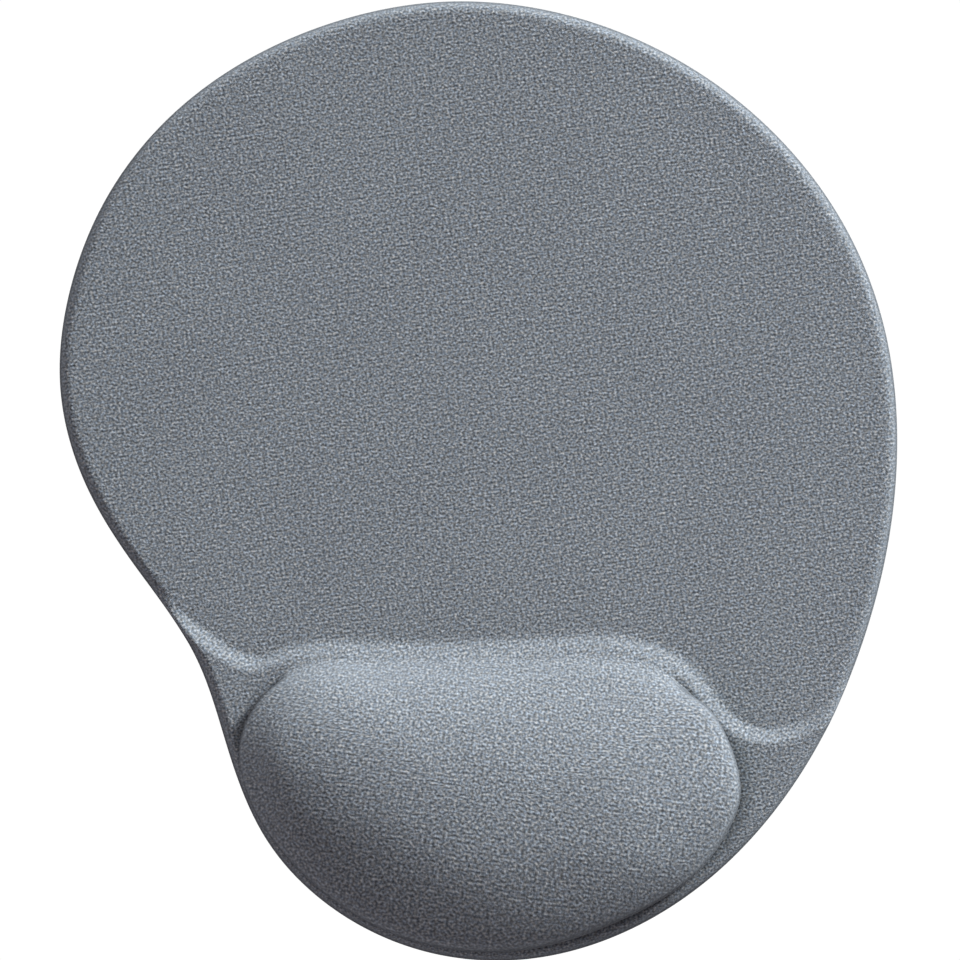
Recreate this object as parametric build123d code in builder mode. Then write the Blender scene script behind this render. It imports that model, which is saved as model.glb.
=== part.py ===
# Gel wrist rest with its mouse pad, built as a bonded stack of soft layers.
#
# Frame: millimetres, +Z up, the desk at Z = 0. The origin is the centre of the
# footprint, on the desk. +Y points away from the user (the pad end), -Y points
# at the user (the gel cushion end), +X is to the user's right.
#
# Nothing on this object moves on a joint: every layer is bonded to the next.

import os
from math import atan2, degrees, hypot

from build123d import *

os.makedirs("parts", exist_ok=True)

# ---------------------------------------------------------------- dimensions
PAD_TOP = 6.0            # height of the mouse surface above the desk
PLATFORM_TOP = 8.0       # height of the ledge round the gel cushion

BASE_THICK = 1.2         # non-skid base sheet
BASE_INSET = 1.5         # base sheet edge, inside the widest outline
BASE_EDGE_R = 0.4        # softened lower edge of the base sheet
BASE_GLUE_THICK = 0.15   # glue film between base sheet and body
BASE_GLUE_INSET = 2.5

FABRIC_THICK = 0.7       # knit cover
FILM_THICK = 0.2         # waterproof film laminated behind the knit
COVER_THICK = FABRIC_THICK + FILM_THICK
COVER_BOTTOM = BASE_THICK + BASE_GLUE_THICK
HEM_WIDTH = 6.0          # how far the cover is tucked under the body
HEM_GAP = 0.1            # gap between the hem and the panel under the body
WINDOW_EXTRA = 0.2       # window cut and panel reach this far above the hem
EDGE_R_TOP = 3.0         # soft upper edge of the covered pad
EDGE_R_LOW = 1.2         # soft lower edge of the covered pad

LEDGE_STEP = 0.05        # the ledge wall stands this far inside the slab wall
LEDGE_FOOT = COVER_BOTTOM + EDGE_R_LOW + 0.1  # ledge starts above the lower edge
RAMP_SHIFT = -0.22       # Y shift of the ramp per millimetre of depth
CUT_REAR_Y = 150         # rear end of the ledge cut, beyond the pad
CUT_ABOVE = 5.0          # the cut reaches this far above the top of the ramp
CUT_BELOW = 10.0         # and this far below its foot

POCKET_FLOOR = 4.6       # floor of the gel pocket in the body
TAPE_THICK = 0.1         # tape that holds the pouch to the pocket floor
TAPE_INSET = 1.5         # tape edge, inside the pouch outline
POUCH_FILM = 0.15        # film of the sealed gel pouch
POUCH_BOTTOM = POCKET_FLOOR + TAPE_THICK
POUCH_FLOOR = POUCH_BOTTOM + POUCH_FILM

# Widest outline of the covered pad (x, y), counter-clockwise.
OUTLINE = [
    (103.45, 38.32), (94.65, 62.12), (80.25, 83.12), (61.45, 100.22),
    (39.25, 112.82), (14.95, 120.22), (-10.45, 121.82), (-35.45, 117.12),
    (-58.85, 107.12), (-79.25, 91.92), (-94.75, 71.82), (-104.05, 48.12),
    (-106.35, 22.82), (-99.65, -1.58), (-86.25, -23.28), (-72.05, -44.48),
    (-63.65, -68.48), (-53.55, -91.78), (-35.65, -109.68), (-12.45, -119.98),
    (12.85, -121.58), (37.35, -114.68), (58.85, -101.08), (76.35, -82.58),
    (89.65, -60.88), (99.05, -37.18), (104.85, -12.38), (106.55, 13.02),
]

# Foot and top of the ramp that climbs from the mouse surface to the ledge,
# (x, y) from left to right.
RAMP_FOOT = [
    (-115.95, -26.88), (-80.45, -30.38), (-69.95, -37.08), (-63.45, -41.48),
    (-56.35, -44.38), (-50.45, -42.78), (-42.95, -40.98), (-27.95, -40.78),
    (0.05, -40.78), (22.05, -39.48), (34.05, -39.18), (46.05, -41.88),
    (56.05, -48.28), (62.55, -56.48), (68.55, -61.58), (75.35, -62.68),
    (82.05, -60.68), (88.55, -56.18), (96.55, -50.38), (116.05, -38.88),
]
RAMP_TOP = [
    (-115.95, -31.18), (-81.95, -34.68), (-71.15, -40.68), (-64.25, -45.38),
    (-56.35, -47.98), (-49.85, -46.18), (-42.35, -45.28), (-27.95, -45.08),
    (0.05, -45.08), (21.65, -43.78), (33.45, -43.48), (44.35, -45.98),
    (52.65, -51.48), (58.95, -59.78), (66.85, -65.78), (75.65, -66.98),
    (83.85, -64.88), (91.05, -60.38), (99.05, -54.38), (116.05, -43.88),
]

# Widest line of the gel cushion seen from above (x, y), counter-clockwise.
CUSHION = [
    (66.55, -80.38), (65.85, -72.38), (62.95, -64.18), (58.65, -57.08), (52.45, -52.00),
    (46.20, -48.00), (38.70, -45.50), (28.05, -44.50), (14.55, -44.90), (0.05, -45.40),
    (-14.95, -45.50), (-29.95, -45.60), (-41.60, -46.30), (-49.55, -48.88),
    (-55.35, -54.08), (-59.45, -60.48), (-61.15, -67.88), (-60.15, -76.28),
    (-56.55, -84.88), (-50.35, -93.88), (-41.95, -102.48), (-31.15, -110.48),
    (-18.65, -116.28), (-5.45, -119.28), (8.05, -119.58), (21.05, -117.28),
    (33.85, -112.68), (46.25, -106.48), (56.05, -99.08), (62.65, -90.28),
]
CREST = (4.71, -85.10)    # where the crest of the cushion stands

# Directions in SPREAD are taken from MIDDLE, with x and y divided by these
# half sizes so that they suit the cushion's oval.
MIDDLE = (4.05, -81.88)
HALF_LENGTH = 62.0        # along X
HALF_WIDTH = 37.0         # along Y

# Shape of the cushion. LEVELS are heights above the ledge. SPREAD tells, for a
# direction (degrees, 0 to the right, 90 to the rear, counter-clockwise) and for
# every level, how far out from the crest towards the widest line (1.0) the
# surface stands. The rear is a slope; both ends and the front bulge out over
# the ledge.
LEVELS = [0.0, 0.9, 1.8, 3.0, 4.5, 6.0, 7.4, 8.7, 9.9, 11.0, 11.9, 12.5, 12.85, 12.98]
SPREAD = {
    0: [0.966, 0.984, 0.995, 1.000, 0.998, 0.985, 0.936,
        0.841, 0.731, 0.635, 0.546, 0.438, 0.272, 0.099],
    20: [0.966, 0.984, 0.996, 1.000, 0.994, 0.965, 0.895,
         0.800, 0.699, 0.601, 0.500, 0.389, 0.240, 0.088],
    36: [0.968, 0.984, 0.993, 0.994, 0.972, 0.920, 0.840,
         0.748, 0.655, 0.556, 0.448, 0.337, 0.207, 0.076],
    50: [1.000, 0.984, 0.968, 0.943, 0.893, 0.825, 0.747,
         0.658, 0.570, 0.470, 0.362, 0.262, 0.158, 0.058],
    62: [1.000, 0.974, 0.948, 0.913, 0.850, 0.775, 0.698,
         0.615, 0.527, 0.426, 0.319, 0.225, 0.129, 0.047],
    90: [1.000, 0.977, 0.954, 0.921, 0.869, 0.805, 0.734,
         0.660, 0.583, 0.491, 0.391, 0.282, 0.158, 0.058],
    118: [1.000, 0.980, 0.960, 0.931, 0.888, 0.836, 0.775,
          0.704, 0.622, 0.519, 0.410, 0.303, 0.180, 0.066],
    132: [1.000, 0.985, 0.970, 0.948, 0.912, 0.871, 0.823,
          0.765, 0.690, 0.590, 0.475, 0.360, 0.215, 0.079],
    142: [0.966, 0.984, 0.991, 0.981, 0.943, 0.905, 0.868,
          0.825, 0.762, 0.668, 0.550, 0.425, 0.255, 0.094],
    156: [0.962, 0.983, 0.995, 0.992, 0.960, 0.926, 0.898,
          0.864, 0.808, 0.720, 0.604, 0.468, 0.287, 0.105],
    180: [0.951, 0.978, 0.994, 0.997, 0.968, 0.930, 0.894,
          0.852, 0.782, 0.678, 0.561, 0.433, 0.269, 0.099],
    215: [0.961, 0.984, 0.996, 1.000, 0.977, 0.933, 0.876,
          0.788, 0.689, 0.584, 0.468, 0.343, 0.203, 0.075],
    250: [0.959, 0.984, 0.997, 1.000, 0.981, 0.931, 0.850,
          0.744, 0.641, 0.529, 0.404, 0.281, 0.159, 0.059],
    290: [0.967, 0.987, 0.998, 1.000, 0.991, 0.966, 0.907,
          0.829, 0.728, 0.606, 0.479, 0.348, 0.206, 0.076],
    325: [0.972, 0.988, 0.998, 1.000, 0.994, 0.963, 0.913,
          0.855, 0.787, 0.689, 0.582, 0.458, 0.285, 0.105],
}


# ------------------------------------------------------------ point helpers
def inset(points, distance):
    """Move a counter-clockwise closed loop inwards by a distance."""
    moved = []
    for i, (x, y) in enumerate(points):
        before, after = points[i - 1], points[(i + 1) % len(points)]
        along_x = after[0] - before[0]
        along_y = after[1] - before[1]
        length = hypot(along_x, along_y)
        moved.append((x - distance * along_y / length, y + distance * along_x / length))
    return moved


def side_reach(k, x, y):
    """How far out the cushion stands at level k, towards the point x, y."""
    angle = degrees(atan2((y - MIDDLE[1]) / HALF_WIDTH, (x - MIDDLE[0]) / HALF_LENGTH)) % 360
    turns = [*SPREAD, 360]
    for start, end in zip(turns, turns[1:]):
        if start <= angle < end:
            break
    reach = SPREAD[start][k]
    next_reach = SPREAD[end % 360][k]
    return reach + (angle - start) / (end - start) * (next_reach - reach)


def cushion_point(i, k):
    """Surface point of the cushion in column i, at level k."""
    x, y = CUSHION[i % len(CUSHION)]
    reach = side_reach(k, x, y)
    return Vector(CREST[0] + reach * (x - CREST[0]),
                  CREST[1] + reach * (y - CREST[1]),
                  PLATFORM_TOP + LEVELS[k])


def sunk_column(i, depth):
    """Column i of the cushion surface, sunk by a depth along its normals."""
    column = []
    for k in range(len(LEVELS)):
        along = cushion_point(i + 1, k) - cushion_point(i - 1, k)
        above = cushion_point(i, min(k + 1, len(LEVELS) - 1))
        upward = above - cushion_point(i, max(k - 1, 0))
        normal = along.cross(upward).normalized()
        column.append(cushion_point(i, k) - normal * depth)
    return column


def point_at_height(column, height):
    """Point (x, y) where a column passes a height."""
    if height <= column[0].Z:
        return (column[0].X, column[0].Y)
    for low, high in zip(column, column[1:]):
        if height <= high.Z:
            break
    part = (height - low.Z) / (high.Z - low.Z)
    return (low.X + part * (high.X - low.X), low.Y + part * (high.Y - low.Y))


def cushion_contours(depth):
    """Heights and level curves of the cushion surface, sunk by a depth."""
    columns = [sunk_column(i, depth) for i in range(len(CUSHION))]
    heights = [PLATFORM_TOP + level - depth for level in LEVELS]
    contours = [[point_at_height(column, height) for column in columns]
                for height in heights]
    return heights, contours


# ------------------------------------------------------------- nested bodies
def prism(points, bottom, height):
    """Upright solid over a smooth closed curve through the points."""
    with BuildPart() as body:
        with BuildSketch(Plane.XY.offset(bottom)):
            with BuildLine():
                Spline(*points, periodic=True)
            make_face()
        extrude(amount=height)
    return body.part


def slab(depth):
    """The soft-edged slab under the mouse surface, sunk by a depth."""
    bottom = COVER_BOTTOM + depth
    with BuildPart() as body:
        add(prism(inset(OUTLINE, depth), bottom, PAD_TOP - depth - bottom))
        fillet(body.faces().sort_by(Axis.Z)[-1].edges(), EDGE_R_TOP - depth)
        fillet(body.faces().sort_by(Axis.Z)[0].edges(), EDGE_R_LOW - depth)
    return body.part


def ramp_clearance(depth):
    """Everything behind and above the ramp, to be cut from the ledge."""
    foot_height, top_height = PAD_TOP - depth, PLATFORM_TOP - depth
    foot_line, top_line = [
        [(x, y + RAMP_SHIFT * depth) for x, y in line] for line in (RAMP_FOOT, RAMP_TOP)
    ]
    with BuildPart() as clearance:
        for z, line in ((foot_height, foot_line), (top_height, top_line)):
            with BuildSketch(Plane.XY.offset(z)):
                with BuildLine():
                    front = Spline(*line)
                    Polyline(front @ 1, ((front @ 1).X, CUT_REAR_Y),
                             ((front @ 0).X, CUT_REAR_Y), front @ 0)
                make_face()
        loft(ruled=True)
        for z, line, reach in ((top_height, top_line, CUT_ABOVE),
                               (foot_height, foot_line, -CUT_BELOW)):
            with BuildSketch(Plane.XY.offset(z)):
                with BuildLine():
                    front = Spline(*line)
                    Polyline(front @ 1, ((front @ 1).X, CUT_REAR_Y),
                             ((front @ 0).X, CUT_REAR_Y), front @ 0)
                make_face()
            extrude(amount=reach)
    return clearance.part


def ledge(depth):
    """The raised ledge round the cushion: a taller slab cut back at the ramp."""
    with BuildPart() as body:
        add(prism(inset(OUTLINE, depth + LEDGE_STEP), LEDGE_FOOT,
                  PLATFORM_TOP - depth - LEDGE_FOOT))
        fillet(body.faces().sort_by(Axis.Z)[-1].edges(),
               EDGE_R_TOP - depth - LEDGE_STEP)
        add(ramp_clearance(depth), mode=Mode.SUBTRACT)
    return body.part


def cushion(depth, bottom):
    """The cushion and its straight foot down to a height, sunk by a depth."""
    heights, contours = cushion_contours(depth)
    with BuildPart() as body:
        for height, contour in zip(heights, contours):
            with BuildSketch(Plane.XY.offset(height)):
                with BuildLine():
                    Spline(*contour, periodic=True)
                make_face()
        loft()
        with BuildSketch(Plane.XY.offset(heights[0])):
            with BuildLine():
                Spline(*contours[0], periodic=True)
            make_face()
        extrude(amount=bottom - heights[0])
    return body.part


def covered_body(depth):
    """Everything inside the cover's outer face, sunk by a depth."""
    with BuildPart() as body:
        add(slab(depth))
        add(ledge(depth))
        add(cushion(depth, POCKET_FLOOR))
    return body.part


# -------------------------------------------------------------------- pieces
def make_base_sheet():
    """Non-skid base sheet, the only piece that touches the desk."""
    with BuildPart() as sheet:
        add(prism(inset(OUTLINE, BASE_INSET), 0, BASE_THICK))
        fillet(sheet.faces().sort_by(Axis.Z)[0].edges(), BASE_EDGE_R)
    return sheet.part


def make_base_adhesive():
    """Glue film that bonds the base sheet to the body and to the hem."""
    return prism(inset(OUTLINE, BASE_GLUE_INSET), BASE_THICK, BASE_GLUE_THICK)


def make_pad_body(body_skin):
    """Moulded foam body with its gel pocket, and a panel underneath that
    fills the window inside the hem."""
    with BuildPart() as body:
        add(body_skin)
        add(prism(inset(OUTLINE, HEM_WIDTH + HEM_GAP), COVER_BOTTOM,
                  COVER_THICK + WINDOW_EXTRA))
        add(cushion(COVER_THICK, POCKET_FLOOR), mode=Mode.SUBTRACT)
    return body.part


def make_pouch_tape(pouch_outline):
    """Tape that holds the gel pouch to the floor of its pocket."""
    return prism(inset(pouch_outline, TAPE_INSET), POCKET_FLOOR, TAPE_THICK)


def make_pouch_base_film(pouch_outline):
    """Flat film that closes the gel pouch from below."""
    return prism(pouch_outline, POUCH_BOTTOM, POUCH_FILM)


def make_gel_core():
    """Gel filling of the pouch."""
    return cushion(COVER_THICK + POUCH_FILM, POUCH_FLOOR)


def make_pouch_top_film(gel_core):
    """Formed film over the gel, welded to the flat film round its rim."""
    with BuildPart() as film:
        add(cushion(COVER_THICK, POUCH_FLOOR))
        add(gel_core, mode=Mode.SUBTRACT)
    return film.part


def make_cover_layer(outside, inside, inner_depth):
    """One layer of the cover, over the whole top and tucked under as a hem.
    inner_depth is how deep its inner face lies below the cover's outer face."""
    with BuildPart() as layer:
        add(outside)
        add(inside, mode=Mode.SUBTRACT)
        add(prism(inset(OUTLINE, HEM_WIDTH), COVER_BOTTOM, inner_depth + WINDOW_EXTRA),
            mode=Mode.SUBTRACT)
    return layer.part


outer_skin = covered_body(0.0)
film_skin = covered_body(FABRIC_THICK)
body_skin = covered_body(COVER_THICK)
pouch_outline = cushion_contours(COVER_THICK)[1][0]
gel_core = make_gel_core()

pieces = {
    "nonskid_base_sheet": make_base_sheet(),
    "base_adhesive": make_base_adhesive(),
    "pad_body": make_pad_body(body_skin),
    "pouch_tape": make_pouch_tape(pouch_outline),
    "pouch_base_film": make_pouch_base_film(pouch_outline),
    "gel_core": gel_core,
    "pouch_top_film": make_pouch_top_film(gel_core),
    # Waterproof film laminated to the back of the knit.
    "cover_backing_film": make_cover_layer(film_skin, body_skin, COVER_THICK),
    # Stretch knit, the outermost layer.
    "cover_fabric": make_cover_layer(outer_skin, film_skin, FABRIC_THICK),
}
for name, piece in pieces.items():
    piece.label = name
    export_step(piece, f"parts/{name}.step")
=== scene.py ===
"""Mouse mat with a gel wrist cushion, covered in grey knit, on a rubber base sheet.

It lies flat with its base at z = 0: +X is right, +Y is the rear, +Z is up. The
cushion stands at the front (-Y). Design sizes are in millimetres; the scene is
in metres. The script makes the cover, the base sheet, the materials and the stage.
"""
import math

import bmesh
import bpy
import numpy as np
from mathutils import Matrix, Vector
from mathutils.geometry import delaunay_2d_cdt


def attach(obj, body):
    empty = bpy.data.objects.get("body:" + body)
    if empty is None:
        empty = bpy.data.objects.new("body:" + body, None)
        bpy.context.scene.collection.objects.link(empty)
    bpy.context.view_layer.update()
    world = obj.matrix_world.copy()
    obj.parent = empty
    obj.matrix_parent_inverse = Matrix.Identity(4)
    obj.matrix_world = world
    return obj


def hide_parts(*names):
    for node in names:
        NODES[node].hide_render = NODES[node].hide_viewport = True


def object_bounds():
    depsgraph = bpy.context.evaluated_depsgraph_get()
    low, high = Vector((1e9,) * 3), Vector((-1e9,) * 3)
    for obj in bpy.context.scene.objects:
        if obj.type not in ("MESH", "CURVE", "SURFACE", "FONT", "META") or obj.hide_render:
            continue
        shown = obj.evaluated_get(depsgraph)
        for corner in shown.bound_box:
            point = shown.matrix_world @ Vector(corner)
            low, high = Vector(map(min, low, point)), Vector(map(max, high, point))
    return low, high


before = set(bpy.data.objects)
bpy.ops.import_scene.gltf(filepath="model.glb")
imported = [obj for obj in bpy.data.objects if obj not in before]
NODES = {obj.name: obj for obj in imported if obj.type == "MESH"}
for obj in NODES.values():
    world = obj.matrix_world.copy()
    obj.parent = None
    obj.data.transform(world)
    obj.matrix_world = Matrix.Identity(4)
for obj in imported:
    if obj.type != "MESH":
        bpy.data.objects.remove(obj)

CAD_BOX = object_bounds()
MM = 0.001

# ------------------------------------------------------------------ design
# Plan curves: x, y in millimetres.
# Edge of the mat, counter-clockwise, with the shift that places it in the frame.
OUTLINE_SHIFT = np.array([0.05, 0.12])
OUTLINE = OUTLINE_SHIFT + np.array([
    (103.4, 38.2), (94.6, 62.0), (80.2, 83.0), (61.4, 100.1), (39.2, 112.7),
    (14.9, 120.1), (-10.5, 121.7), (-35.5, 117.0), (-58.9, 107.0), (-79.3, 91.8),
    (-94.8, 71.7), (-104.1, 48.0), (-106.4, 22.7), (-99.7, -1.7), (-86.3, -23.4),
    (-72.1, -44.6), (-63.7, -68.6), (-53.6, -91.9), (-35.7, -109.8),
    (-12.5, -120.1), (12.8, -121.7), (37.3, -114.8), (58.8, -101.2),
    (76.3, -82.7), (89.6, -61.0), (99.0, -37.3), (104.8, -12.5), (106.5, 12.9),
])
# Foot and top of the ramp from the pad up to the ledge, left to right.
RAMP_FOOT = np.array([
    (-115.95, -26.88), (-80.45, -30.38), (-69.95, -37.08), (-63.45, -41.48),
    (-56.35, -44.38), (-50.45, -42.78), (-42.95, -40.98), (-27.95, -40.78),
    (0.05, -40.78), (22.05, -39.48), (34.05, -39.18), (46.05, -41.88),
    (56.05, -48.28), (62.55, -56.48), (68.55, -61.58), (75.35, -62.68),
    (82.05, -60.68), (88.55, -56.18), (96.55, -50.38), (116.05, -38.88),
])
RAMP_TOP = np.array([
    (-115.95, -31.18), (-81.95, -34.68), (-71.65, -41.48), (-64.85, -46.28),
    (-56.35, -48.68), (-49.65, -46.48), (-42.35, -45.28), (-27.95, -45.08),
    (0.05, -45.08), (21.65, -43.78), (33.45, -43.48), (44.35, -45.98),
    (52.65, -51.48), (58.95, -59.78), (66.85, -65.78), (75.65, -66.98),
    (83.85, -64.88), (91.05, -60.38), (99.05, -54.38), (116.05, -43.88),
])
# Widest line of the cushion, counter-clockwise.
CUSHION = np.array([
    (66.55, -80.38), (65.85, -72.38), (62.95, -64.18), (58.65, -57.08),
    (52.45, -52.00), (46.20, -48.00), (38.70, -45.50), (28.05, -44.50),
    (14.55, -44.90), (0.05, -45.40), (-14.95, -45.50), (-29.95, -45.60),
    (-41.60, -46.30), (-49.55, -48.88), (-55.35, -54.08), (-59.45, -60.48),
    (-61.15, -67.88), (-60.15, -76.28), (-56.55, -84.88), (-50.35, -93.88),
    (-41.95, -102.48), (-31.15, -110.48), (-18.65, -116.28), (-5.45, -119.28),
    (8.05, -119.58), (21.05, -117.28), (33.85, -112.68), (46.25, -106.48),
    (56.05, -99.08), (62.65, -90.28),
])
CREST = np.array([4.71, -85.10])            # highest point of the cushion
MIDDLE = np.array([4.05, -81.88])           # centre from which directions are counted
CUSHION_HALF = np.array([62.0, 37.0])       # half width and half depth

# Heights above the ledge and, for directions in degrees (0 right, 90 rear), how
# far out the cushion stands at each height, as a share of CUSHION.
LEVELS = np.array([0.0, 0.9, 1.8, 3.0, 4.5, 6.0, 7.4, 8.7, 9.9, 11.0, 11.9, 12.5, 12.85, 12.98])
SPREAD = {
    0: [0.966, 0.984, 0.995, 1.000, 0.998, 0.985, 0.936, 0.841, 0.731, 0.635, 0.546, 0.438, 0.272, 0.099],
    20: [0.966, 0.984, 0.996, 1.000, 0.994, 0.965, 0.895, 0.800, 0.699, 0.601, 0.500, 0.389, 0.240, 0.088],
    36: [0.968, 0.984, 0.993, 0.994, 0.972, 0.920, 0.840, 0.748, 0.655, 0.556, 0.448, 0.337, 0.207, 0.076],
    50: [1.000, 0.984, 0.968, 0.943, 0.893, 0.825, 0.747, 0.658, 0.570, 0.470, 0.362, 0.262, 0.158, 0.058],
    62: [1.000, 0.974, 0.948, 0.913, 0.850, 0.775, 0.698, 0.615, 0.527, 0.426, 0.319, 0.225, 0.129, 0.047],
    90: [1.000, 0.977, 0.954, 0.921, 0.869, 0.805, 0.734, 0.660, 0.583, 0.491, 0.391, 0.282, 0.158, 0.058],
    118: [1.000, 0.980, 0.960, 0.931, 0.888, 0.836, 0.775, 0.704, 0.622, 0.519, 0.410, 0.303, 0.180, 0.066],
    132: [1.000, 0.985, 0.970, 0.948, 0.912, 0.871, 0.823, 0.765, 0.690, 0.590, 0.475, 0.360, 0.215, 0.079],
    142: [0.966, 0.984, 0.991, 0.981, 0.943, 0.905, 0.868, 0.825, 0.762, 0.668, 0.550, 0.425, 0.255, 0.094],
    156: [0.962, 0.983, 0.995, 0.992, 0.960, 0.926, 0.898, 0.864, 0.808, 0.720, 0.604, 0.468, 0.287, 0.105],
    180: [0.951, 0.978, 0.994, 0.997, 0.968, 0.930, 0.894, 0.852, 0.782, 0.678, 0.561, 0.433, 0.269, 0.099],
    215: [0.961, 0.984, 0.996, 1.000, 0.977, 0.933, 0.876, 0.788, 0.689, 0.584, 0.468, 0.343, 0.203, 0.075],
    250: [0.959, 0.984, 0.997, 1.000, 0.981, 0.931, 0.850, 0.744, 0.641, 0.529, 0.404, 0.281, 0.159, 0.059],
    290: [0.967, 0.987, 0.998, 1.000, 0.991, 0.966, 0.907, 0.829, 0.728, 0.606, 0.479, 0.348, 0.206, 0.076],
    325: [0.972, 0.988, 0.998, 1.000, 0.994, 0.963, 0.913, 0.855, 0.787, 0.689, 0.582, 0.458, 0.285, 0.105],
}
CROWN = 13.0                # height of the crest above the ledge

PAD_TOP, LEDGE_TOP = 6.0, 8.0
RAMP_EASE = 0.8             # 0 gives a straight ramp, 1 a full S
EDGE_RADIUS = 3.0           # upper edge of the mat
RAMP_EDGE_CUT = 1.15        # how much smaller that radius is where the ramp meets it
CUT_START = 1.8             # the cut starts this far behind the foot, and ends
CUT_BLEND = 2.2             # this side of the top line, blending over this length

HEM_Z = 1.35                # underside of the tucked-under hem
HEM_WIDTH = 6.0
LOW_RADIUS = 1.2            # lower edge of the cover
MIN_WALL = 0.2
KNIT_THICK = 0.6

BASE_THICK, BASE_INSET = 1.2, 1.5

RAYS = 640                  # cover vertices in a full ring
CLOTH_STRIDE = 4            # rays per column of the cloth simulation
CLOTH_ROWS = 22


# ---------------------------------------------------------------- curves
def smoothstep(x):
    return x * x * (3 - 2 * x)


def hermite(s, span, start, end, start_slope, end_slope):
    return ((2 * s**3 - 3 * s**2 + 1) * start + (s**3 - 2 * s**2 + s) * span * start_slope
            + (3 * s**2 - 2 * s**3) * end + (s**3 - s**2) * span * end_slope)


def cubic_curve(points, count, closed):
    """Periodic or natural C2 cubic through the points, chord-length parameter."""
    n = len(points)
    following = np.roll(points, -1, 0)
    span = np.linalg.norm(following - points, axis=1)
    if not closed:
        span = span[:-1]
    system = np.zeros((n, n))
    target = np.zeros((n, 2))
    for i in range(n) if closed else range(1, n - 1):
        before, after = span[i - 1], span[i]
        system[i, i - 1] = after
        system[i, i] = 2 * (before + after)
        system[i, (i + 1) % n] = before
        target[i] = 3 * (after * (points[i] - points[i - 1]) / before
                         + before * (following[i] - points[i]) / after)
    if not closed:
        for end, beside, last_span in ((0, 1, 0), (-1, -2, -1)):
            system[end, end] = 2
            system[end, beside] = 1
        target[0] = 3 * (points[1] - points[0]) / span[0]
        target[-1] = 3 * (points[-1] - points[-2]) / span[-1]
    slope = np.linalg.solve(system, target)
    travel = np.linspace(0, span.sum(), count, endpoint=not closed)
    starts = np.concatenate([[0], np.cumsum(span)])
    k = np.clip(np.searchsorted(starts, travel, side="right") - 1, 0, len(span) - 1)
    s = ((travel - starts[k]) / span[k])[:, None]
    after = (k + 1) % n
    return hermite(s, span[k][:, None], points[k], points[after], slope[k], slope[after])


def monotone_cubic(x, y, wanted):
    """Monotone cubic through (x, y), read at the wanted x."""
    span = np.diff(x)
    rate = np.diff(y) / span
    slope = np.zeros_like(y)
    for i in range(1, len(y) - 1):
        if rate[i - 1] * rate[i] > 0:
            weight_before = 2 * span[i] + span[i - 1]
            weight_after = span[i] + 2 * span[i - 1]
            slope[i] = ((weight_before + weight_after)
                        / (weight_before / rate[i - 1] + weight_after / rate[i]))
    slope[0], slope[-1] = rate[0], rate[-1]
    k = np.clip(np.searchsorted(x, wanted, side="right") - 1, 0, len(x) - 2)
    s = (wanted - x[k]) / span[k]
    return hermite(s, span[k], y[k], y[k + 1], slope[k], slope[k + 1])


def nearest(points, curve, closed):
    """Distance to a polyline, side of it (+1 left, -1 right) and nearest point."""
    start = curve if closed else curve[:-1]
    along = np.roll(curve, -1, 0) - curve if closed else curve[1:] - start
    length_squared = (along**2).sum(1)
    block_size = 4000                                    # limits the memory used
    distances, sides, places = [], [], []
    for first in range(0, len(points), block_size):
        block = points[first:first + block_size]
        offset = block[:, None, :] - start[None]
        t = np.clip((offset * along[None]).sum(2) / length_squared[None], 0, 1)
        squared = ((offset - t[..., None] * along[None]) ** 2).sum(2)
        k = squared.argmin(1)
        row = np.arange(len(block))
        distances.append(np.sqrt(squared[row, k]))
        sides.append(np.sign(along[k, 0] * offset[row, k, 1] - along[k, 1] * offset[row, k, 0]))
        places.append(start[k] + t[row, k][:, None] * along[k])
    return np.concatenate(distances), np.concatenate(sides), np.concatenate(places)


outline = cubic_curve(OUTLINE, 1400, closed=True)
foot_line = cubic_curve(RAMP_FOOT, 500, closed=False)
top_line = cubic_curve(RAMP_TOP, 500, closed=False)


# --------------------------------------------------------- pad and its edge
def in_front(xy, line):
    """Distance in front of a ramp line, negative behind it."""
    distance, side, _ = nearest(xy, line, closed=False)
    return np.where(side < 0, distance, -distance)


def pad_height(xy):
    """Height of the covered pad and ledge, before the edge is rounded."""
    past_foot = in_front(xy, foot_line)
    past_top = in_front(xy, top_line)
    from_foot, from_top = np.abs(past_foot), np.abs(past_top)
    between = from_foot / np.maximum(from_foot + from_top, 1e-9)
    part = np.where(past_foot <= 0, 0.0, np.where(past_top > 0, 1.0, between))
    rise = part + RAMP_EASE * (smoothstep(part) - part)
    return PAD_TOP + (LEDGE_TOP - PAD_TOP) * rise


def edge_radius(xy):
    """Radius of the rounded edge: tighter where the ramp runs over it."""
    after_foot = np.clip((in_front(xy, foot_line) + CUT_START) / CUT_START, 0, 1)
    before_top = np.clip((CUT_START - in_front(xy, top_line)) / CUT_BLEND, 0, 1)
    return EDGE_RADIUS - RAMP_EDGE_CUT * smoothstep(after_foot) * smoothstep(before_top)


def edge_drop(distance, radius):
    """Fall of the rounded edge at a distance in from the rim."""
    reach = np.clip(radius - distance, 0, radius)
    return radius - np.sqrt(np.maximum(radius**2 - reach**2, 0))


def edge_extra(distance, radius):
    """Extra cloth length that the rounded edge takes up."""
    angle = np.arcsin(np.clip((radius - distance) / radius, 0, 1))
    return radius * (angle - np.sin(angle))


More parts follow.
